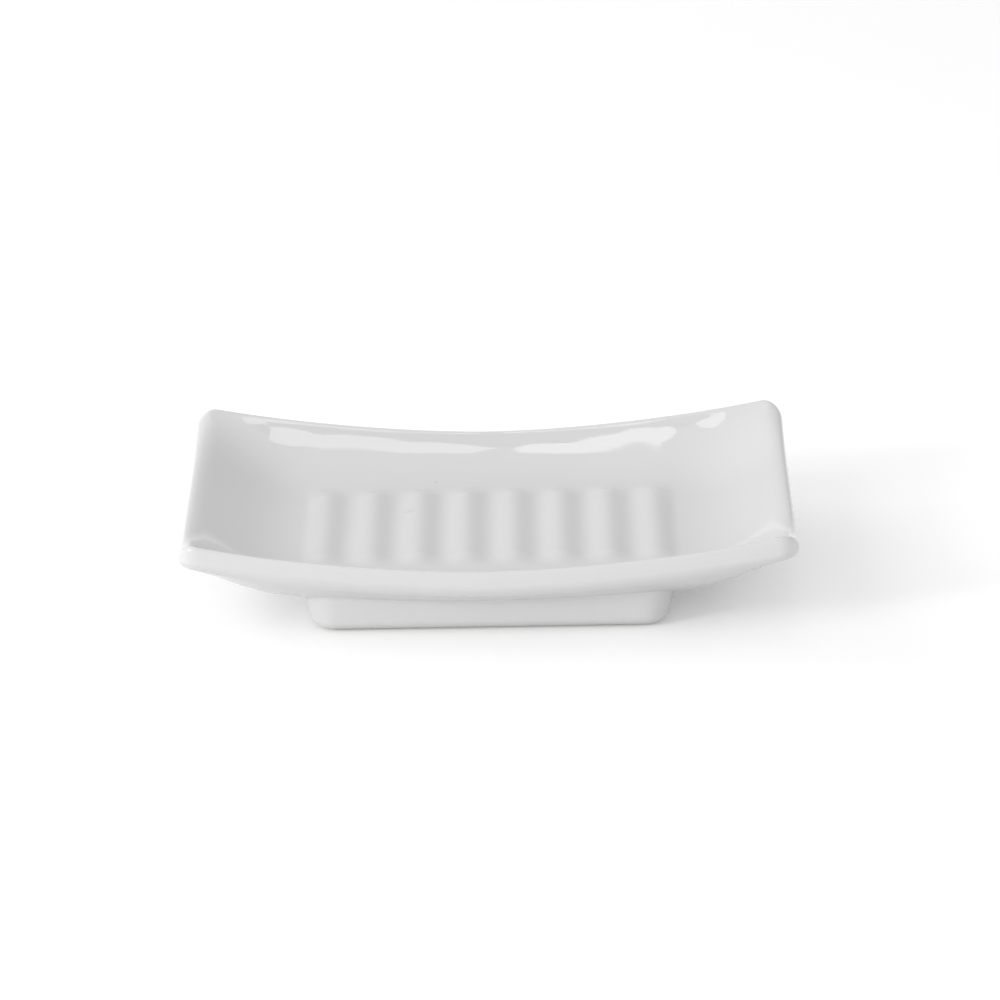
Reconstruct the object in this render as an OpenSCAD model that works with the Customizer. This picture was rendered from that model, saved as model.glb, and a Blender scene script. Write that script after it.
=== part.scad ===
// Soap dish: a glazed ceramic tray with drain ridges, on a hollow ceramic foot with four soft pads.
// Millimetres, at real size. The origin is on the table under the middle of the dish,
// with X along its length and Z up.

/* [Tray] */
// Length of the tray, end to end
tray_length = 130; // [110:1:170]
// Width of the tray, front to back
tray_width = 84; // [76:1:110]
// Radius of the tray's corners, seen from above
corner_radius = 4.5; // [3.5:0.5:12]
// Height of the long rims at the middle, before their edge is rounded
rim_height = 17.4; // [15:0.1:24]
// How much higher the rims are at the corners
rim_rise = 7; // [2:0.1:12]
// How late the rims curve up towards the corners
rim_curve = 1.75; // [1.5:0.05:3]
// Thickness of the clay
clay = 5.5; // [5.2:0.1:7]
// Radius of the upper edge of the long rims
rim_radius = 1.2; // [0.8:0.1:2.5]
// Radius of the upper edge of the ends
end_radius = 3.3; // [2:0.1:3.5]
// Radius of the rim's lower edge
low_radius = 1.6; // [1:0.1:1.6]

/* [Well] */
// Height of the flat floor above the table
floor_height = 10.5; // [9.5:0.1:13]
// Length of the flat floor
flat_length = 76; // [60:1:90]
// Length of the bend from the flat floor to the end slope
bend_length = 25; // [15:1:30]
// Angle of the end slope
end_angle = 36; // [20:1:40]
// Width of the cove that rises to a long rim, at the middle
cove_width = 21; // [16:0.5:28]
// Width of that cove at the ends of the tray
end_cove_width = 34; // [28:0.5:37]
// How late the cove widens towards the ends
cove_spread = 1.8; // [1.2:0.1:3]

/* [Drain ridges] */
// Number of ridges on the floor
ridge_count = 8; // [4:1:10]
// Distance from one ridge to the next
ridge_pitch = 10.2; // [8:0.1:11]
// Height of a ridge
ridge_height = 1.1; // [0.6:0.1:2]
// Length of a ridge
ridge_length = 49; // [40:1:56]
// Length over which a ridge's end fades into the floor
ridge_fade = 8; // [4:0.5:12]

/* [Foot] */
// Length of the foot where it meets the tray
foot_length = 78; // [66:1:90]
// Width of the foot where it meets the tray
foot_width = 69.5; // [60:0.5:74]
// Radius of the foot's corners, seen from above
foot_corner_radius = 6.5; // [6:0.5:12]
// Radius of the corners of the recess inside the foot
recess_radius = 12; // [11:0.5:16]
// Thickness of the foot's wall
foot_wall = 7.5; // [7:0.1:9]
// How far the outside leans in from top to bottom
foot_taper = 0.8; // [0:0.1:2]
// Radius of the outer bottom edge
foot_edge_radius = 2.4; // [1.6:0.1:3.6]
// Radius of the inner bottom edge
foot_inner_radius = 0.8; // [0.4:0.1:1.2]
// Radius of the fillet between foot and tray
foot_fillet = 0.3; // [0.2:0.1:1.4]
// Slip joint between the foot and the tray
slip_joint = 0.05; // [0.02:0.01:0.1]

/* [Pads] */
// Diameter of a pad
pad_diameter = 6; // [4:0.1:6.4]
// Thickness of a pad
pad_thickness = 1; // [0.8:0.1:1.4]
// How far a pad stands out of the foot
pad_stand = 0.4; // [0.3:0.1:0.7]

/* [Hidden] */

half_length = tray_length / 2;
half_width = tray_width / 2;
ridge_span = ridge_count * ridge_pitch / 2;
ridge_half = ridge_length / 2;
ridge_flat = ridge_half - ridge_fade;
// How steeply the inside and the outside of the cove rise
cove_power = 2.75;
under_power = 2.6;

// Steps of the tray's surface, along it and across it
steps_in_ridge = 6;
steps_to_end = 12;
steps_in_fade = 6;
steps_in_cove = 9;

// Rises from 0 to 1 with level ends
function ease(t) = let (u = max(0, min(1, t))) u * u * (3 - 2 * u);

// Area under ease, which is how far a slope that eases in has climbed
function ease_sum(t) = let (u = max(0, min(1, t))) pow(u, 3) - pow(u, 4) / 2;

// How far a rounded edge has dropped at a distance s from the outline
function edge_drop(s, r) = s >= r ? 0 : r - sqrt(r * r - (r - s) * (r - s));

function rim_z(x) = rim_height + rim_rise * pow(abs(x) / half_length, rim_curve);

function floor_z(x) =
    let (along = abs(x) - flat_length / 2)
    floor_height + tan(end_angle) * (
        bend_length * ease_sum(along / bend_length) + max(0, along - bend_length));

function cove_at(x) =
    cove_width + (end_cove_width - cove_width) * pow(abs(x) / half_length, cove_spread);

// Share of the way out across the cove, from 0 at its foot to 1 at the rim
function cove_share(x, y) = max(0, 1 - (half_width - abs(y)) / cove_at(x));

function shell_z(x, y, power) =
    floor_z(x) + (rim_z(x) - floor_z(x)) * pow(cove_share(x, y), power);

function ridge_z(x, y) =
    abs(x) >= ridge_span ? 0 :
    ridge_height * (1 + cos(360 * (x + ridge_span - ridge_pitch / 2) / ridge_pitch)) / 2
        * (1 - ease((abs(y) - ridge_flat) / ridge_fade));

// s is the distance from the outline, seen from above, and at_end goes from 0 at a long rim to 1 at an end
function upper_z(x, y, s, at_end) =
    shell_z(x, y, cove_power) + ridge_z(x, y) - edge_drop(s, rim_radius + (end_radius - rim_radius) * at_end);
function under_z(x, y, s) = shell_z(x, y, under_power) - clay + edge_drop(s, low_radius);

// Lines of the surface, closer together towards the outline
end_lines = [for (i = [1 : steps_to_end])
    ridge_span + (half_length - ridge_span) * sin(90 * i / steps_to_end)];
ridge_lines = [for (i = [0 : ridge_count * steps_in_ridge])
    -ridge_span + ridge_pitch * i / steps_in_ridge];
side_lines = concat(
    [for (i = [0 : steps_in_fade]) ridge_flat + ridge_fade * i / steps_in_fade],
    [for (i = [1 : steps_in_cove])
        ridge_half + (half_width - ridge_half) * sin(90 * i / steps_in_cove)]);
function backwards(list) = [for (i = [len(list) - 1 : -1 : 0]) -list[i]];
x_lines = concat(backwards(end_lines), ridge_lines, end_lines);
y_lines = concat(backwards(side_lines), [0], side_lines);
x_count = len(x_lines);
y_count = len(y_lines);

// Moves a point of the full rectangle into the rounded corner, and adds s and at_end
function in_plan(x, y) =
    let (
        p = abs(x) - half_length + corner_radius,
        q = abs(y) - half_width + corner_radius,
        corner = p > 0 && q > 0,
        k = corner ? max(p, q) / norm([p, q]) : 1
    )
    corner
        ? [sign(x) * (abs(x) - p + p * k), sign(y) * (abs(y) - q + q * k),
            max(0, corner_radius - max(p, q)), ease(1 - atan2(q, p) / 90)]
        : [x, y, max(0, min(half_length - abs(x), half_width - abs(y))), p > q ? 1 : 0];

// Places in the list of points: the upper face comes first
function upper_index(c) = c[1] * x_count + c[0];
function under_index(c) = x_count * y_count + upper_index(c);

module tray() {
    plan = [for (y = y_lines) for (x = x_lines) in_plan(x, y)];
    upper = [for (p = plan) [p[0], p[1], upper_z(p[0], p[1], p[2], p[3])]];
    under = [for (p = plan) [p[0], p[1], under_z(p[0], p[1], p[2])]];
    // Each cell is cut along the diagonal that points to the nearest corner of the tray
    cells = [for (j = [0 : y_count - 2]) for (i = [0 : x_count - 2])
        let (outward = (x_lines[i] + x_lines[i + 1]) * (y_lines[j] + y_lines[j + 1]) > 0)
        outward
            ? [[[i, j], [i + 1, j + 1], [i + 1, j]], [[i, j], [i, j + 1], [i + 1, j + 1]]]
            : [[[i, j], [i, j + 1], [i + 1, j]], [[i + 1, j], [i, j + 1], [i + 1, j + 1]]]];
    faces = [for (cell = cells) for (t = cell) each [
        [for (c = t) upper_index(c)],
        [for (k = [2 : -1 : 0]) under_index(t[k])]]];
    outline = concat(
        [for (i = [0 : x_count - 2]) [i, 0]],
        [for (j = [0 : y_count - 2]) [x_count - 1, j]],
        [for (i = [x_count - 1 : -1 : 1]) [i, y_count - 1]],
        [for (j = [y_count - 1 : -1 : 1]) [0, j]]);
    // The upright band of the rim, between its upper and its lower edge
    band = [for (k = [0 : len(outline) - 1])
        let (a = outline[k], b = outline[(k + 1) % len(outline)])
        each [
            [upper_index(a), upper_index(b), under_index(b)],
            [upper_index(a), under_index(b), under_index(a)]]];
    color("white") polyhedron(points = concat(upper, under), faces = concat(faces, band));
}

// Steps round the foot: on a long side, on an end, and round a corner
steps_on_side = 10;
steps_on_end = 8;
steps_in_corner = 7;
steps_in_fillet = 3;
steps_in_edge = 4;
steps_across = 3;
steps_round_pad = 48;

// A rounded rectangle with corner radius r that lies inset inside the foot's top outline
function foot_outline(inset, r) =
    let (
        a = foot_length / 2 - inset - r,
        b = foot_width / 2 - inset - r,
        centres = [[a, b], [-a, b], [-a, -b], [a, -b]]
    )
    [for (k = [0 : 3]) each
        let (
            c = centres[k],
            next = centres[(k + 1) % 4],
            steps = k % 2 == 0 ? steps_on_side : steps_on_end,
            turn = 90 * (k + 1)
        )
        concat(
            [for (i = [0 : steps_in_corner])
                let (w = 90 * k + 90 * i / steps_in_corner) c + r * [cos(w), sin(w)]],
            [for (i = [1 : steps - 1]) c + (next - c) * i / steps + r * [cos(turn), sin(turn)]])];

function foot_top(p) = under_z(p.x, p.y, half_width - abs(p.y)) - slip_joint;

// How much of the edge's rounding fits under a point, where the tray leaves the foot less height
function edge_fit(p) = min(1, (foot_top(p) - foot_fillet - pad_stand) / foot_edge_radius);

// A loop of the foot that hangs below the underside of the tray
function hung_loop(inset, r, drop) =
    [for (p = foot_outline(inset, r)) [p.x, p.y, foot_top(p) - drop]];

// A loop of the foot at one height above its bottom
function level_loop(inset, r, height) =
    [for (p = foot_outline(inset, r)) [p.x, p.y, pad_stand + height * edge_fit(p)]];

module foot_body() {
    // From the fillet down the outside, across the bottom, up the recess and back along the joint
    fillet = [for (i = [0 : steps_in_fillet])
        let (w = 90 * i / steps_in_fillet, out = foot_fillet * (1 - sin(w)))
        hung_loop(-out, foot_corner_radius + out, foot_fillet * (1 - cos(w)))];
    outside = [for (i = [0 : steps_in_edge])
        let (w = 90 * i / steps_in_edge, inset = foot_taper + foot_edge_radius * (1 - cos(w)))
        level_loop(inset, foot_corner_radius - inset, foot_edge_radius * (1 - sin(w)))];
    inside = [for (i = [0 : steps_in_edge])
        let (w = 90 * i / steps_in_edge, out = foot_inner_radius * (1 - sin(w)))
        level_loop(foot_wall - out, recess_radius + out, foot_inner_radius * (1 - cos(w)))];
    joint = [for (i = [0 : steps_across - 1])
        let (k = 1 - i / steps_across)
        hung_loop(foot_wall * k, foot_corner_radius + (recess_radius - foot_corner_radius) * k, 0)];
    loops = concat(fillet, outside, inside, joint);
    per_loop = len(loops[0]);
    count = len(loops);
    faces = [for (k = [0 : count - 1]) for (i = [0 : per_loop - 1])
        let (
            low = k * per_loop,
            high = (k + 1) % count * per_loop,
            next = (i + 1) % per_loop
        )
        each [[low + i, low + next, high + next], [low + i, high + next, high + i]]];
    polyhedron(points = [for (loop = loops) each loop], faces = faces);
}

// A pad lies midway across the flat bottom at each corner of the foot.
// A corner of radius r reaches this share of r further in along X and Y than its sides do.
corner_share = 1 - cos(45);
edge_inset = foot_taper + foot_edge_radius;
mouth_inset = foot_wall - foot_inner_radius;
edge_reach = edge_inset + (foot_corner_radius - edge_inset) * corner_share;
mouth_reach = mouth_inset + (recess_radius + foot_inner_radius) * corner_share;
pad_inset = (edge_reach + mouth_reach) / 2;

module at_pads() {
    for (sx = [-1, 1]) for (sy = [-1, 1])
        translate([sx * (foot_length / 2 - pad_inset), sy * (foot_width / 2 - pad_inset), 0])
            children();
}

module pad() {
    cylinder(d = pad_diameter, h = pad_thickness, $fn = steps_round_pad);
}

module foot() {
    color("white") difference() {
        foot_body();
        at_pads() pad();
    }
}

module foot_pads() {
    color("lightgray") at_pads() pad();
}

tray();
foot();
foot_pads();
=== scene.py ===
from math import atan2, cos, hypot, pi, radians, sin, sqrt, tan

import bpy
from mathutils import Matrix, Vector


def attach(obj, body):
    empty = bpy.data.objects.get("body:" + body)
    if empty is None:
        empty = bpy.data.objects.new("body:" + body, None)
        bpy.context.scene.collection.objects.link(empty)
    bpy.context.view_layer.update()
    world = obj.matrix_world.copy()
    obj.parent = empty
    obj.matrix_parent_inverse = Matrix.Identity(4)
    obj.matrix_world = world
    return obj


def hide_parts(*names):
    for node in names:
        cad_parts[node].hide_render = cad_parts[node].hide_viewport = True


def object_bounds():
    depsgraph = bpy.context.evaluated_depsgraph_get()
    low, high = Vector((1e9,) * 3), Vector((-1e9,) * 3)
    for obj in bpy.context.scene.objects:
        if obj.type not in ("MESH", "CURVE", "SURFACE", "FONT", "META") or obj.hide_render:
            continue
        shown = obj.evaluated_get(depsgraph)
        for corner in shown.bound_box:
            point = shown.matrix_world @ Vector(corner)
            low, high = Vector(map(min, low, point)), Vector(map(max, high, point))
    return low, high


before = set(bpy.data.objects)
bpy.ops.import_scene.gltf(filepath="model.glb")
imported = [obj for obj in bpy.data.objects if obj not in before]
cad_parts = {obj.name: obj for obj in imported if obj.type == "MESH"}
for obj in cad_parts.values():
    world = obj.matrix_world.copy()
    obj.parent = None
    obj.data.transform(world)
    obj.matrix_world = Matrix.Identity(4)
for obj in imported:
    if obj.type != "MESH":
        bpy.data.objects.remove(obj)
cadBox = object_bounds()
print("Frame loaded:", ", ".join(sorted(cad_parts)))


# The camera stands where the photo was taken from

cameraView = {
    "target": (0.002332, 0.0, 0.016523),  # the point in the middle of the picture
    "distance": 1.1422,
    "elevation": 21.3,   # degrees above the table
    "turn": -0.497,      # degrees to the side of straight on
    "roll": -1.128,      # the camera leans a little
    "lens": 190.54, "sensor": 36,  # a long lens on a full-frame sensor, in mm
    "near": 0.05, "far": 20,
}


def addCamera(view):
    data = bpy.data.cameras.new("camera")
    data.sensor_width = view["sensor"]
    data.lens = view["lens"]
    data.clip_start = view["near"]
    data.clip_end = view["far"]
    camera = bpy.data.objects.new("camera", data)
    bpy.context.scene.collection.objects.link(camera)
    elevation, turn = radians(view["elevation"]), radians(view["turn"])
    ahead = Vector((sin(turn) * cos(elevation), cos(turn) * cos(elevation), -sin(elevation)))
    aim = Matrix.Rotation(-turn, 3, "Z") @ Matrix.Rotation(pi / 2 - elevation, 3, "X")
    aim = aim @ Matrix.Rotation(radians(view["roll"]), 3, "Z")
    camera.location = Vector(view["target"]) - ahead * view["distance"]
    camera.rotation_euler = aim.to_euler()
    bpy.context.scene.camera = camera
    return camera


camera = addCamera(cameraView)
print("Camera placed")


def linear(hexColour):
    # sRGB hex to the linear colour that the shaders use
    parts = [int(hexColour[i:i + 2], 16) / 255 for i in (1, 3, 5)]
    return [p / 12.92 if p <= 0.04045 else ((p + 0.055) / 1.055) ** 2.4 for p in parts] + [1.0]


def addNode(tree, kind, settings=None, links=None):
    # settings name the node's properties or sockets, links join a socket to another node's output
    node = tree.nodes.new(kind)
    for name, value in (settings or {}).items():
        if isinstance(name, int) or name in node.inputs:
            node.inputs[name].default_value = value
        else:
            setattr(node, name, value)
    for name, source in (links or {}).items():
        tree.links.new(source, node.inputs[name])
    return node


def newMaterial(name):
    material = bpy.data.materials.new(name)
    material.use_nodes = True
    material.node_tree.nodes.clear()
    return material, material.node_tree


def clearSelection():
    if bpy.context.object and bpy.context.object.mode != "OBJECT":
        bpy.ops.object.mode_set(mode="OBJECT")
    bpy.ops.object.select_all(action="DESELECT")


def ease(t):
    u = max(0.0, min(1.0, t))
    return u * u * (3 - 2 * u)


def easeSum(t):
    # what ease adds up to, so a slope that starts gently
    u = max(0.0, min(1.0, t))
    return u ** 3 - u ** 4 / 2


def edgeDrop(s, r):
    # how far a rounded edge of radius r has dropped at distance s from its outline
    return 0.0 if s >= r else r - sqrt(max(0.0, r * r - (r - s) ** 2))


mergeDistance = 0.000002
featherAngle = 60  # edges sharper than this, in degrees, aren't shaded smooth


def closeShell(piece):
    # merges what touches, turns all faces outwards and shades them smooth, up to a feather edge
    clearSelection()
    piece.select_set(True)
    bpy.context.view_layer.objects.active = piece
    bpy.ops.object.mode_set(mode="EDIT")
    bpy.ops.mesh.select_all(action="SELECT")
    bpy.ops.mesh.remove_doubles(threshold=mergeDistance)
    bpy.ops.mesh.dissolve_degenerate(threshold=mergeDistance)
    bpy.ops.mesh.normals_make_consistent(inside=False)
    bpy.ops.object.mode_set(mode="OBJECT")
    bpy.ops.object.shade_smooth_by_angle(angle=radians(featherAngle))


def finishPiece(piece, material, slotName, *nodes):
    piece.data.materials.clear()
    piece.data.materials.append(material)
    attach(piece, "root")
    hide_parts(*nodes)


glazeLook = {
    "body": "#DADADA",        # where the glaze lies thin
    "pooled": "#D6D6D6",      # where it has run together
    "cloudSize": 0.035,       # slow drift of the white, one cloud about every 35 mm
    "gloss": (0.012, 0.03),   # roughness, which drifts with the white
    "waveSize": 0.016,        # the glaze settles in low waves about 16 mm long
    "waveHeight": 0.00003,
    "peelSize": 0.0022,       # fine orange peel
    "peelHeight": 0.0000008,
    "speck": "#8C8985",       # iron in the clay that has come through
    "speckSpacing": 0.016,    # one possible speck in each 16 mm
    "speckRadius": 0.00022,
    "speckStrength": 0.8,
    "speckless": 0.86,        # share of the cells that stay without a speck
    "speckAndCreaseShade": [                # place, size and strength: a dark speck behind the ridges, then painted shade of a crease on a ridge
        ((-0.0120, 0.0264, 0.0107), (0.0004, 0.0006, 0.0010), 0.32),
        ((-0.0176, 0.0079, 0.0110), (0.0015, 0.0012, 0.0030), 0.14),
    ],
    "flawCore": 0.3,          # share of a flaw's size that is dark all through
    "clay": "#D9D3C8",        # the foot stands on bare clay, as no glaze may touch the kiln shelf
    "clayRoughness": 0.8,
    "glazeLine": 0.0007,      # height at which the glaze has been wiped off
    "glazeLineBlur": 0.0001,
}


def addSpot(tree, place, centre, size, strength, core):
    # a soft spot in the glaze, of that strength over its core and 0 outside its size
    away = addNode(tree, "ShaderNodeVectorMath", {"operation": "SUBTRACT", 1: centre}, {0: place})
    share = addNode(tree, "ShaderNodeVectorMath", {"operation": "DIVIDE", 1: size},
                    {0: away.outputs[0]})
    reach = addNode(tree, "ShaderNodeVectorMath", {"operation": "LENGTH"}, {0: share.outputs[0]})
    return addNode(tree, "ShaderNodeMapRange",
                   {"From Min": 1.0, "From Max": core, "To Max": strength},
                   {"Value": reach.outputs["Value"]})


def whiteGlaze(look):
    # Opaque white gloss glaze, dipped and fired: a glassy skin over pale clay that mirrors lamps sharply
    material, tree = newMaterial("whiteGlossGlaze")
    place = addNode(tree, "ShaderNodeTexCoord").outputs["Object"]
    clouds = addNode(tree, "ShaderNodeTexNoise", {"Scale": 1 / look["cloudSize"], "Detail": 3.0},
                     {"Vector": place})
    white = addNode(tree, "ShaderNodeMix",
                    {"data_type": "RGBA", 6: linear(look["body"]), 7: linear(look["pooled"])},
                    {0: clouds.outputs["Fac"]})

    # Specks in some cells of a pattern, then a dark speck and the painted shade of a crease
    cells = addNode(tree, "ShaderNodeTexVoronoi", {"Scale": 1 / look["speckSpacing"]}, {"Vector": place})
    apart = addNode(tree, "ShaderNodeMath", {"operation": "MULTIPLY", 1: look["speckSpacing"]},
                    {0: cells.outputs["Distance"]})
    isSpeck = addNode(tree, "ShaderNodeMapRange",
                      {"From Min": look["speckRadius"], "From Max": 0.0, "To Max": look["speckStrength"]},
                      {"Value": apart.outputs[0]})
    chance = addNode(tree, "ShaderNodeSeparateColor", None, {0: cells.outputs["Color"]})
    few = addNode(tree, "ShaderNodeMath", {"operation": "GREATER_THAN", 1: look["speckless"]},
                  {0: chance.outputs[0]})
    dark = addNode(tree, "ShaderNodeMath", {"operation": "MULTIPLY"},
                   {0: isSpeck.outputs[0], 1: few.outputs[0]})
    # the second of these spots is painted shade: it darkens the glaze where a small crease on a ridge lies
    # in shade
    for flaw in look["speckAndCreaseShade"]:
        spot = addSpot(tree, place, *flaw, look["flawCore"])
        dark = addNode(tree, "ShaderNodeMath", {"operation": "MAXIMUM"},
                       {0: dark.outputs[0], 1: spot.outputs[0]})
    glazed = addNode(tree, "ShaderNodeMix", {"data_type": "RGBA", 7: linear(look["speck"])},
                     {0: dark.outputs[0], 6: white.outputs[2]})

    # Bare clay under the foot
    height = addNode(tree, "ShaderNodeSeparateXYZ", None, {0: place}).outputs["Z"]
    bare = addNode(tree, "ShaderNodeMapRange",
                   {"From Min": look["glazeLine"], "From Max": look["glazeLine"] - look["glazeLineBlur"]},
                   {"Value": height})
    colour = addNode(tree, "ShaderNodeMix", {"data_type": "RGBA", 7: linear(look["clay"])},
                     {0: bare.outputs[0], 6: glazed.outputs[2]})

    # The glassy skin lies in low waves with a fine peel on them
    waves = addNode(tree, "ShaderNodeTexNoise", {"Scale": 1 / look["waveSize"], "Detail": 1.0},
                    {"Vector": place})
    peel = addNode(tree, "ShaderNodeTexNoise", {"Scale": 1 / look["peelSize"], "Detail": 1.0},
                   {"Vector": place})
    settled = addNode(tree, "ShaderNodeBump", {"Strength": 1.0, "Distance": look["waveHeight"]},
                      {"Height": waves.outputs["Fac"]})
    skin = addNode(tree, "ShaderNodeBump", {"Strength": 1.0, "Distance": look["peelHeight"]},
                   {"Height": peel.outputs["Fac"], "Normal": settled.outputs[0]})
    gloss = addNode(tree, "ShaderNodeMapRange", {"To Min": look["gloss"][0], "To Max": look["gloss"][1]},
                    {"Value": clouds.outputs["Fac"]})
    matte = addNode(tree, "ShaderNodeMath", {"operation": "MULTIPLY", 1: look["clayRoughness"]},
                    {0: bare.outputs[0]})
    rough = addNode(tree, "ShaderNodeMath", {"operation": "MAXIMUM"},
                    {0: gloss.outputs[0], 1: matte.outputs[0]})
    shader = addNode(tree, "ShaderNodeBsdfPrincipled", {"IOR": 1.52},
                     {"Base Color": colour.outputs[2], "Roughness": rough.outputs[0],
                      "Normal": skin.outputs[0]})
    addNode(tree, "ShaderNodeOutputMaterial", None, {"Surface": shader.outputs[0]})
    return material


siliconeLook = {
    "clear": "#CDD0D1", "cloudy": "#BFC2C3",
    "cloudSize": 0.0025,
    "wear": (0.38, 0.55),      # roughness, from clean to rubbed
    "depth": 0.001,            # how far light gets in
    "milkiness": 0.4,
    "grainSize": 0.0003,       # drawn coarser than the mould's fine grain, so that it shows
    "grainHeight": 0.000004,
}


def siliconeRubber(look):
    # Moulded silicone: slightly cloudy, soft satin surface that takes up fine dust
    material, tree = newMaterial("mouldedSilicone")
    place = addNode(tree, "ShaderNodeTexCoord").outputs["Object"]
    clouds = addNode(tree, "ShaderNodeTexNoise", {"Scale": 1 / look["cloudSize"], "Detail": 3.0},
                     {"Vector": place})
    colour = addNode(tree, "ShaderNodeMix",
                     {"data_type": "RGBA", 6: linear(look["clear"]), 7: linear(look["cloudy"])},
                     {0: clouds.outputs["Fac"]})
    grain = addNode(tree, "ShaderNodeTexNoise", {"Scale": 1 / look["grainSize"], "Detail": 2.0},
                    {"Vector": place})
    skin = addNode(tree, "ShaderNodeBump", {"Distance": look["grainHeight"]},
                   {"Height": grain.outputs["Fac"]})
    worn = addNode(tree, "ShaderNodeMapRange", {"To Min": look["wear"][0], "To Max": look["wear"][1]},
                   {"Value": clouds.outputs["Fac"]})
    shader = addNode(tree, "ShaderNodeBsdfPrincipled",
                     {"IOR": 1.41, "Subsurface Weight": look["milkiness"],
                      "Subsurface Scale": look["depth"]},
                     {"Base Color": colour.outputs[2], "Roughness": worn.outputs[0],
                      "Normal": skin.outputs[0]})
    addNode(tree, "ShaderNodeOutputMaterial", None, {"Surface": shader.outputs[0]})
    return material


glazeMaterial = whiteGlaze(glazeLook)
siliconeMaterial = siliconeRubber(siliconeLook)
print("Materials made")


# The tray: a slab pressed into shape, with its rims, ends and drain ridges

tray = {
    "length": 0.130, "width": 0.084, "cornerRadius": 0.0045,
    "rimHeight": 0.0174, "rimRise": 0.007, "rimCurve": 1.75,  # the rim rises towards the ends
    "clay": 0.0055, "rimRadius": 0.0012, "endRadius": 0.0033, "lowRadius": 0.0016,
    "endEase": 0.4,  # the ends round over more gently than a circle would
    "floorHeight": 0.0105, "flatLength": 0.076, "bendLength": 0.025, "endAngle": 36,
    "coveWidth": 0.021, "endCoveWidth": 0.034, "coveSpread": 1.8,
    "covePower": 2.75, "underPower": 2.6,  # how steeply the inside and the outside of the cove rise
    "ridgeCount": 8, "ridgePitch": 0.0102, "ridgeHeight": 0.0011,
    "ridgeLength": 0.049, "ridgeFade": 0.008,
    "linesAlong": 261, "linesAcross": 169,
    "evenShare": 0.7,  # of the way to the rim; beyond it the lines lie ever closer
}


def rimZ(x):
    return tray["rimHeight"] + tray["rimRise"] * (abs(x) / (tray["length"] / 2)) ** tray["rimCurve"]


def floorZ(x):
    # flat in the middle, then a bend up to the slope of the end
    past = abs(x) - tray["flatLength"] / 2
    bend = tray["bendLength"]
    climb = bend * easeSum(past / bend) + max(0, past - bend)
    return tray["floorHeight"] + tan(radians(tray["endAngle"])) * climb


def coveShare(x, y):
    # 0 at the foot of the cove, 1 at the rim
    reach = (abs(x) / (tray["length"] / 2)) ** tray["coveSpread"]
    cove = tray["coveWidth"] + (tray["endCoveWidth"] - tray["coveWidth"]) * reach
    return max(0.0, 1 - (tray["width"] / 2 - abs(y)) / cove)


def shellZ(x, y, power):
    low = floorZ(x)
    return low + (rimZ(x) - low) * coveShare(x, y) ** power


def ridgeZ(x, y):
    span = tray["ridgeCount"] * tray["ridgePitch"] / 2
    if abs(x) >= span:
        return 0.0
    flat = tray["ridgeLength"] / 2 - tray["ridgeFade"]
    wave = (1 + cos(2 * pi * (x + span - tray["ridgePitch"] / 2) / tray["ridgePitch"])) / 2
    return tray["ridgeHeight"] * wave * (1 - ease((abs(y) - flat) / tray["ridgeFade"]))


def upperZ(x, y, s, atEnd):
    # s is the distance from the outline; atEnd goes from 0 at a long side to 1 at an end
    radius = tray["rimRadius"] + (tray["endRadius"] - tray["rimRadius"]) * atEnd
    drop = edgeDrop(s / (1 + tray["endEase"] * atEnd), radius)
    return shellZ(x, y, tray["covePower"]) + ridgeZ(x, y) - drop


def underZ(x, y, s):
    return shellZ(x, y, tray["underPower"]) - tray["clay"] + edgeDrop(s, tray["lowRadius"])


def spread(t, even):
    # even steps in the middle, then ever closer ones towards the rim
    out = abs(t)
    if out > even:
        out = even + (1 - even) * sin(pi / 2 * (out - even) / (1 - even))
    return out if t > 0 else -out


def inPlan(x, y):
    # rounds the corners of the plan, and adds s and atEnd
    a, b, r = tray["length"] / 2, tray["width"] / 2, tray["cornerRadius"]
    p, q = abs(x) - a + r, abs(y) - b + r
    if p > 0 and q > 0:
        k = max(p, q) / hypot(p, q)
        x = (a - r + p * k) * (1 if x > 0 else -1)
        y = (b - r + q * k) * (1 if y > 0 else -1)
        return x, y, max(0.0, r - max(p, q)), ease(1 - atan2(q, p) / (pi / 2))
    return x, y, max(0.0, min(a - abs(x), b - abs(y))), 1 if p > q else 0


def makeTray():
    clearSelection()
    top = tray["rimHeight"]
    bpy.ops.mesh.primitive_grid_add(x_subdivisions=tray["linesAlong"] - 1,
                                    y_subdivisions=tray["linesAcross"] - 1, size=1, location=(0, 0, top))
    piece = bpy.context.object
    piece.name = piece.data.name = "trayGlazed"
    piece.scale = (tray["length"], tray["width"], 1)
    bpy.ops.object.transform_apply(location=True, rotation=True, scale=True)
    bpy.ops.object.mode_set(mode="EDIT")
    bpy.ops.mesh.select_all(action="SELECT")
    bpy.ops.mesh.extrude_region_move(TRANSFORM_OT_translate={"value": (0, 0, -tray["clay"])})
    bpy.ops.object.mode_set(mode="OBJECT")
    a, b = tray["length"] / 2, tray["width"] / 2
    for v in piece.data.vertices:  # the slab is pressed into the tray's form
        upper = v.co.z > top - tray["clay"] / 2
        across, along = spread(v.co.y / b, tray["evenShare"]), spread(v.co.x / a, tray["evenShare"])
        x, y, s, atEnd = inPlan(a * along, b * across)
        z = min(upperZ(x, y, s, atEnd), cadBox[1][2]) if upper else underZ(x, y, s)  # within the CAD's box
        v.co = (x, y, z)
    closeShell(piece)
    return piece


trayPiece = makeTray()
finishPiece(trayPiece, glazeMaterial, "white_glaze", "tray")
print("Tray made:", len(trayPiece.data.polygons), "faces")


# The foot: a hollow ring that follows the underside of the tray

foot = {
    "length": 0.078, "width": 0.0695, "cornerRadius": 0.0065, "recessRadius": 0.012,
    "wall": 0.0075, "taper": 0.0008, "edgeRadius": 0.0024, "innerRadius": 0.0008,
    "fillet": 0.0003, "sunk": 0.00003,  # the glaze runs from tray to foot without a gap
    "stand": 0.0004,                    # the pads hold the foot up by this much
    "stepsOnSide": 40, "stepsOnEnd": 36, "stepsInCorner": 20,
    "stepsInFillet": 8, "stepsInEdge": 12, "stepsInside": 6,
}


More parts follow.
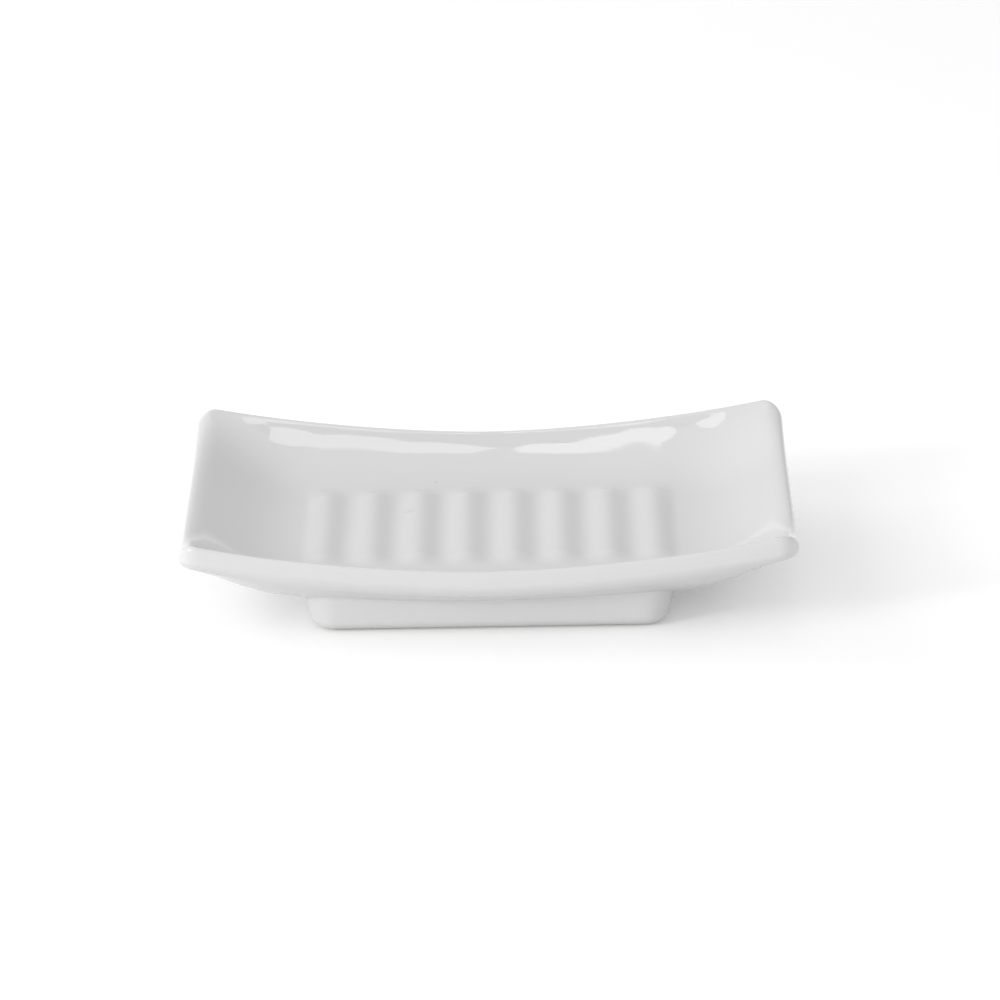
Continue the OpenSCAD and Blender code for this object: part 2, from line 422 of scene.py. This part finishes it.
def footOutline(inset, r):
    # a rounded rectangle that lies inset inside the foot's top outline
    a, b = foot["length"] / 2 - inset - r, foot["width"] / 2 - inset - r
    centres = [(a, b), (-a, b), (-a, -b), (a, -b)]
    points = []
    for k in range(4):
        (cx, cy), (nx, ny) = centres[k], centres[(k + 1) % 4]
        for i in range(foot["stepsInCorner"] + 1):
            w = pi / 2 * (k + i / foot["stepsInCorner"])
            points.append((cx + r * cos(w), cy + r * sin(w)))
        steps = foot["stepsOnEnd"] if k % 2 else foot["stepsOnSide"]
        w = pi / 2 * (k + 1)
        for i in range(1, steps):
            x, y = cx + (nx - cx) * i / steps, cy + (ny - cy) * i / steps
            points.append((x + r * cos(w), y + r * sin(w)))
    return points


def footTop(x, y):
    return underZ(x, y, tray["width"] / 2 - abs(y)) + foot["sunk"]


def hungLoop(inset, r, drop):
    return [(x, y, footTop(x, y) - drop) for x, y in footOutline(inset, r)]


def levelLoop(inset, r, height):
    loop = []
    for x, y in footOutline(inset, r):
        fit = min(1.0, (footTop(x, y) - foot["fillet"] - foot["stand"]) / foot["edgeRadius"])
        loop.append((x, y, foot["stand"] + height * fit))
    return loop


def footLoops():
    # from the fillet down the outside, across the bottom, up the recess and back along the joint
    loops = []
    for i in range(foot["stepsInFillet"] + 1):
        w = pi / 2 * i / foot["stepsInFillet"]
        out = foot["fillet"] * (1 - sin(w))
        loops.append(hungLoop(-out, foot["cornerRadius"] + out, foot["fillet"] * (1 - cos(w))))
    for i in range(foot["stepsInEdge"] + 1):
        w = pi / 2 * i / foot["stepsInEdge"]
        inset = foot["taper"] + foot["edgeRadius"] * (1 - cos(w))
        loops.append(levelLoop(inset, foot["cornerRadius"] - inset, foot["edgeRadius"] * (1 - sin(w))))
    for i in range(foot["stepsInside"] + 1):
        w = pi / 2 * i / foot["stepsInside"]
        out, up = foot["innerRadius"] * (1 - sin(w)), foot["innerRadius"] * (1 - cos(w))
        loops.append(levelLoop(foot["wall"] - out, foot["recessRadius"] + out, up))
    loops.append(hungLoop(foot["wall"], foot["recessRadius"], 0))
    loops.append(hungLoop(foot["wall"] / 2, (foot["recessRadius"] + foot["cornerRadius"]) / 2, 0))
    return loops


def makeFoot():
    loops = footLoops()
    around, down = len(loops[0]), len(loops)
    clearSelection()
    bpy.ops.mesh.primitive_grid_add(x_subdivisions=around, y_subdivisions=down, size=1, location=(0, 0, 0))
    piece = bpy.context.object
    piece.name = piece.data.name = "footGlazed"
    for v in piece.data.vertices:  # the sheet is rolled round the foot's section, and round the foot
        i, j = round((v.co.x + 0.5) * around) % around, round((v.co.y + 0.5) * down) % down
        v.co = loops[j][i]
    closeShell(piece)
    return piece


footPiece = makeFoot()
finishPiece(footPiece, glazeMaterial, "white_glaze", "foot")
print("Foot made:", len(footPiece.data.polygons), "faces")


# The pads: four discs let into the underside of the foot

pads = {
    "diameter": 0.006, "thickness": 0.001, "steps": 64,
    "edge": 0.0002, "edgeSteps": 4,  # the lower edge is rounded
    "edgeAngle": 50,                 # edges sharper than this, in degrees, aren't shaded smooth
}


def padPlaces():
    # midway across the flat bottom, on the diagonals of the foot's corners
    edge, mouth = foot["taper"] + foot["edgeRadius"], foot["wall"] - foot["innerRadius"]
    share = 1 - cos(pi / 4)
    edge += (foot["cornerRadius"] - edge) * share
    mouth += (foot["recessRadius"] + foot["innerRadius"]) * share
    inset = (edge + mouth) / 2
    a, b = foot["length"] / 2 - inset, foot["width"] / 2 - inset
    return [(a, b), (-a, b), (-a, -b), (a, -b)]


def makePads():
    made = []
    for x, y in padPlaces():
        clearSelection()
        bpy.ops.mesh.primitive_cylinder_add(vertices=pads["steps"], radius=pads["diameter"] / 2,
                                            depth=pads["thickness"],
                                            location=(x, y, pads["thickness"] / 2))
        pad = bpy.context.object
        bpy.ops.object.transform_apply(location=True, rotation=True, scale=True)
        bpy.ops.object.mode_set(mode="EDIT")
        bpy.ops.mesh.select_mode(type="FACE")
        bpy.ops.mesh.select_all(action="DESELECT")
        bpy.ops.object.mode_set(mode="OBJECT")
        for face in pad.data.polygons:
            face.select = face.normal.z < -0.9  # the lower face
        bpy.ops.object.mode_set(mode="EDIT")
        bpy.ops.mesh.bevel(offset=pads["edge"], segments=pads["edgeSteps"], affect="EDGES")
        bpy.ops.object.mode_set(mode="OBJECT")
        made.append(pad)
    clearSelection()
    for pad in made:
        pad.select_set(True)
    bpy.context.view_layer.objects.active = made[0]
    bpy.ops.object.join()
    piece = bpy.context.object
    piece.name = piece.data.name = "siliconePads"
    bpy.ops.object.shade_smooth_by_angle(angle=radians(pads["edgeAngle"]))
    return piece


padsPiece = makePads()
finishPiece(padsPiece, siliconeMaterial, "clear_silicone", "foot_pads")
print("Pads made")


# The table, the lamps and what the glaze mirrors

studio = {
    "paper": "#EFEFEF", "fibre": "#EDEDED", "fibreSize": 0.004,
    "tableSize": 6,
    "paperGlow": 0.212,      # added to what is seen of the paper, so that it is white and keeps the shadow
    "surround": 0.62,        # light of the pale room on the dish
    "backdropPlace": 1.7, "backdropWidth": 4.0, "backdropHeight": 0.3, "backdropGlow": 0.93,
    "lampDistance": 1.4,
    "lamps": {               # azimuth from behind, elevation, size, level, and whether the glaze mirrors it
        "key": (236, 22.3, 0.26, 5.2, True),
        "window": (236, 40, 0.5, 2.5, False),
        "sideFill": (300, 20, 1.0, 6.2, False),
        "frontFill": (200, 10, 0.8, 3.6, False),
        "rightFill": (90, 30, 1.2, 2.2, False),
    },
    "imageSize": 1000,       # pixels of the photo, across and down
    "panelHeight": 0.8,      # three lit cards lie flat overhead; the far wall of the well mirrors them
    "panels": {              # level, then the outline of a highlight on that wall, in the photo's pixels
        "panelLeft": (2.7, [(268.5, 425.5), (281.5, 426.8), (294, 428.5), (306, 431), (354, 435.5),
                            (408, 441.5), (449, 443.5), (486, 447.3), (507.5, 448), (486, 450),
                            (462, 453.7), (385.5, 452.5), (339.5, 447.4), (306.5, 445.5), (294, 446.5),
                            (268.1, 439.7)]),
        "panelRight": (3.4, [(514, 449), (522, 446.5), (537, 443.7), (568, 443.1), (583, 439),
                             (618, 433.5), (642, 428.5), (665, 426), (672, 428), (676, 432),
                             (671.5, 437.2), (654, 441.8), (630, 448.3), (606, 452.5), (558, 453.7),
                             (522, 452.3)]),
    },
    "panelSmall": (2.9, [(-0.115, -0.1), (-0.121, -0.108), (-0.137, -0.087), (-0.172, -0.01),  # corners
                         (-0.202, 0.062), (-0.194, 0.056), (-0.171, 0.023), (-0.138, -0.036)]),
    "halvings": 30, "slopeStep": 0.00002,  # for finding the wall behind a pixel, and its slope there
    "flagHeight": 0.81,      # a black flag just above the cards keeps the top of that wall a little darker
    "flag": [(0.5, -0.9), (0.5, 0.16), (0.19, 0.05), (0.14, 0.01), (0.1, -0.03), (0.07, -0.05),
             (0.05, -0.01), (0.035, 0.05), (0.018, 0.115), (0.002, 0.165), (-0.019, 0.15),
             (-0.027, 0.165), (-0.035, 0.115), (-0.042, 0.06), (-0.05, 0), (-0.058, -0.04),
             (-0.068, -0.09), (-0.095, -0.095), (-0.125, -0.07), (-0.155, -0.01), (-0.19, 0.045),
             (-0.5, 0.16), (-0.5, -0.9)],
}


def addTable():
    material, tree = newMaterial("mattePaper")
    # Seamless photographic paper: matte, with a faint fibre mottle
    place = addNode(tree, "ShaderNodeTexCoord").outputs["Object"]
    fibre = addNode(tree, "ShaderNodeTexNoise", {"Scale": 1 / studio["fibreSize"], "Detail": 2.0},
                    {"Vector": place})
    tone = addNode(tree, "ShaderNodeMix",
                   {"data_type": "RGBA", 6: linear(studio["paper"]), 7: linear(studio["fibre"])},
                   {0: fibre.outputs["Fac"]})
    paper = addNode(tree, "ShaderNodeBsdfDiffuse", None, {"Color": tone.outputs[2]})
    ray = addNode(tree, "ShaderNodeLightPath")
    seen = addNode(tree, "ShaderNodeMath", {"operation": "ADD"},
                   {0: ray.outputs["Is Camera Ray"], 1: ray.outputs["Is Glossy Ray"]})
    seen = addNode(tree, "ShaderNodeMath", {"operation": "ADD", "use_clamp": True},
                   {0: seen.outputs[0], 1: ray.outputs["Is Transmission Ray"]})
    level = addNode(tree, "ShaderNodeMath", {"operation": "MULTIPLY", 1: studio["paperGlow"]},
                    {0: seen.outputs[0]})
    glow = addNode(tree, "ShaderNodeEmission", {"Color": (1, 1, 1, 1)}, {"Strength": level.outputs[0]})
    both = addNode(tree, "ShaderNodeAddShader", None, {0: paper.outputs[0], 1: glow.outputs[0]})
    addNode(tree, "ShaderNodeOutputMaterial", None, {"Surface": both.outputs[0]})
    clearSelection()
    bpy.ops.mesh.primitive_plane_add(size=studio["tableSize"], location=(0, 0, 0))
    table = bpy.context.object
    table.name = "table"
    table.data.materials.append(material)


def wellZ(x, y):
    return upperZ(*inPlan(x, y))


def wallPoint(ray):
    # where the camera's view meets the far wall of the well, by halving the stretch that holds the place
    start, half = camera.location, tray["width"] / 2
    near, far = [(y - start.y) / ray.y for y in (half - tray["coveWidth"], half - tray["rimRadius"])]
    for _ in range(studio["halvings"]):
        middle = (near + far) / 2
        x, y, z = start + ray * middle
        if z > wellZ(x, y):
            near = middle
        else:
            far = middle
    return start + ray * near


def cardCorner(px, py, height):
    # follows the view through a pixel to the far wall, then its reflection up to a card at that height
    size, e = studio["imageSize"], studio["slopeStep"]
    focal = cameraView["lens"] / cameraView["sensor"] * size
    ray = Vector(((px - size / 2) / focal, (size / 2 - py) / focal, -1)).normalized()
    ray.rotate(camera.rotation_euler)
    x, y, z = wallPoint(ray)
    slopeX, slopeY = wellZ(x + e, y) - wellZ(x - e, y), wellZ(x, y + e) - wellZ(x, y - e)
    up = ray.reflect(Vector((-slopeX, -slopeY, 2 * e)).normalized())
    reach = (height - z) / up.z
    return round(x + up.x * reach, 3), round(y + up.y * reach, 3)  # cards are cut to the millimetre


def addPanel(name, level, corners, height):
    # a card that lies flat overhead and glows evenly, or is black at level 0; the camera doesn't see it
    material, tree = newMaterial(name)
    glow = addNode(tree, "ShaderNodeEmission", {"Color": (1, 1, 1, 1), "Strength": level})
    addNode(tree, "ShaderNodeOutputMaterial", None, {"Surface": glow.outputs[0]})
    clearSelection()
    bpy.ops.mesh.primitive_circle_add(vertices=len(corners), fill_type="NGON", location=(0, 0, height))
    panel = bpy.context.object
    panel.name = name
    for v, (x, y) in zip(panel.data.vertices, corners):
        v.co = (x, y, 0)
    panel.data.materials.append(material)
    panel.visible_camera = False
    return panel


def addSoftbox(name, azimuth, elevation, size, level, mirrored):
    # an area lamp that looks at the dish
    turn, rise = radians(azimuth), radians(elevation)
    place = Vector((sin(turn) * cos(rise), cos(turn) * cos(rise), sin(rise)))
    place *= studio["lampDistance"]
    data = bpy.data.lights.new(name, "AREA")
    data.size = size
    data.energy = level
    lamp = bpy.data.objects.new(name, data)
    lamp.location = place
    lamp.rotation_euler = (-place).to_track_quat("-Z", "Y").to_euler()
    lamp.visible_glossy = mirrored
    bpy.context.scene.collection.objects.link(lamp)


def addSurround():
    world = bpy.data.worlds.new("whiteSurround")
    bpy.context.scene.world = world
    world.use_nodes = True
    tree = world.node_tree
    tree.nodes.clear()
    ray = addNode(tree, "ShaderNodeLightPath")
    level = addNode(tree, "ShaderNodeMapRange", {"To Min": studio["surround"], "To Max": 1.0},
                    {"Value": ray.outputs["Is Camera Ray"]})
    white = addNode(tree, "ShaderNodeBackground", {"Color": (1, 1, 1, 1)}, {"Strength": level.outputs[0]})
    addNode(tree, "ShaderNodeOutputWorld", None, {"Surface": white.outputs[0]})


def addBackdrop():
    # A low white sheet far behind the dish: the glaze mirrors it as a thin bright line along the near rim
    material, tree = newMaterial("backdropPaper")
    place = addNode(tree, "ShaderNodeTexCoord").outputs["Object"]
    height = addNode(tree, "ShaderNodeSeparateXYZ", None, {0: place}).outputs["Z"]
    level = addNode(tree, "ShaderNodeMapRange",
                    {"From Min": studio["backdropHeight"] / 2, "From Max": studio["backdropHeight"],
                     "To Min": studio["backdropGlow"], "To Max": studio["surround"]},
                    {"Value": height})
    glow = addNode(tree, "ShaderNodeEmission", {"Color": (1, 1, 1, 1)}, {"Strength": level.outputs[0]})
    addNode(tree, "ShaderNodeOutputMaterial", None, {"Surface": glow.outputs[0]})
    clearSelection()
    bpy.ops.mesh.primitive_plane_add(size=1, rotation=(pi / 2, 0, 0),
                                     location=(0, studio["backdropPlace"], studio["backdropHeight"] / 2))
    backdrop = bpy.context.object
    backdrop.name = "backdrop"
    backdrop.scale = (studio["backdropWidth"], studio["backdropHeight"], 1)
    bpy.ops.object.transform_apply(location=True, rotation=True, scale=True)
    backdrop.data.materials.append(material)


addTable()
addBackdrop()
for name, settings in studio["lamps"].items():
    addSoftbox(name, *settings)
for name, (level, outline) in studio["panels"].items():
    corners = [cardCorner(px, py, studio["panelHeight"]) for px, py in outline]
    addPanel(name, level, corners, studio["panelHeight"])
addPanel("panelSmall", *studio["panelSmall"], studio["panelHeight"])
flag = addPanel("blackFlag", 0.0, studio["flag"], studio["flagHeight"])
flag.visible_diffuse = flag.visible_shadow = False  # it only shows in the glaze
addSurround()
bpy.context.scene.view_settings.view_transform = "Standard"
print("Table and lamps placed")
